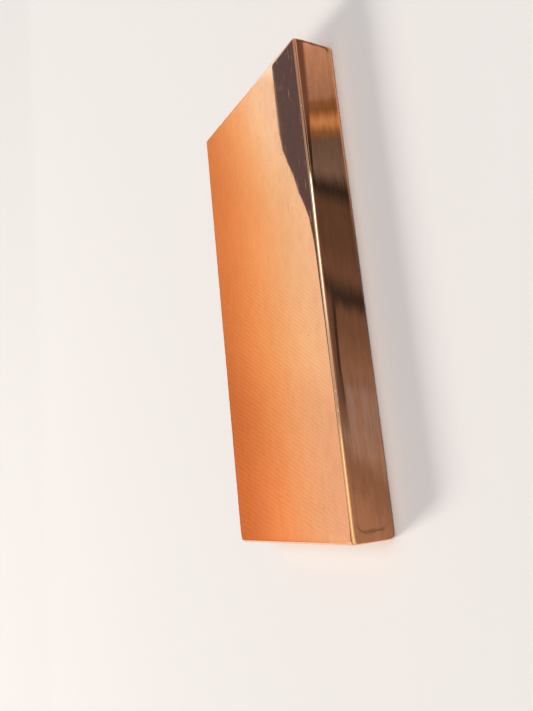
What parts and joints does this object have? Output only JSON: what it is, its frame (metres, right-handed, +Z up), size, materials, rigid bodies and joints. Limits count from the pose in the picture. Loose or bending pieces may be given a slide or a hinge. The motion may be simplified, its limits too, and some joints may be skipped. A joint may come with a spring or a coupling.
{
  "type": "copper ingot",
  "caption": "Rectangular bar of solid copper with mirror-polished flat faces and small rounded edges, lying on one broad face.",
  "frame": {"origin": "centre of the underside, on the surface that the bar lies on", "axes": "+X along the bar's length, +Y across its width, +Z up through its thickness"},
  "size_m": [0.14, 0.061, 0.0132],
  "materials": {
    "polished_copper": "mirror-polished bare copper with fine lengthwise buffing lines"
  },
  "bodies": {
    "root": {"ingot": "polished_copper"}
  },
  "joints": []
}
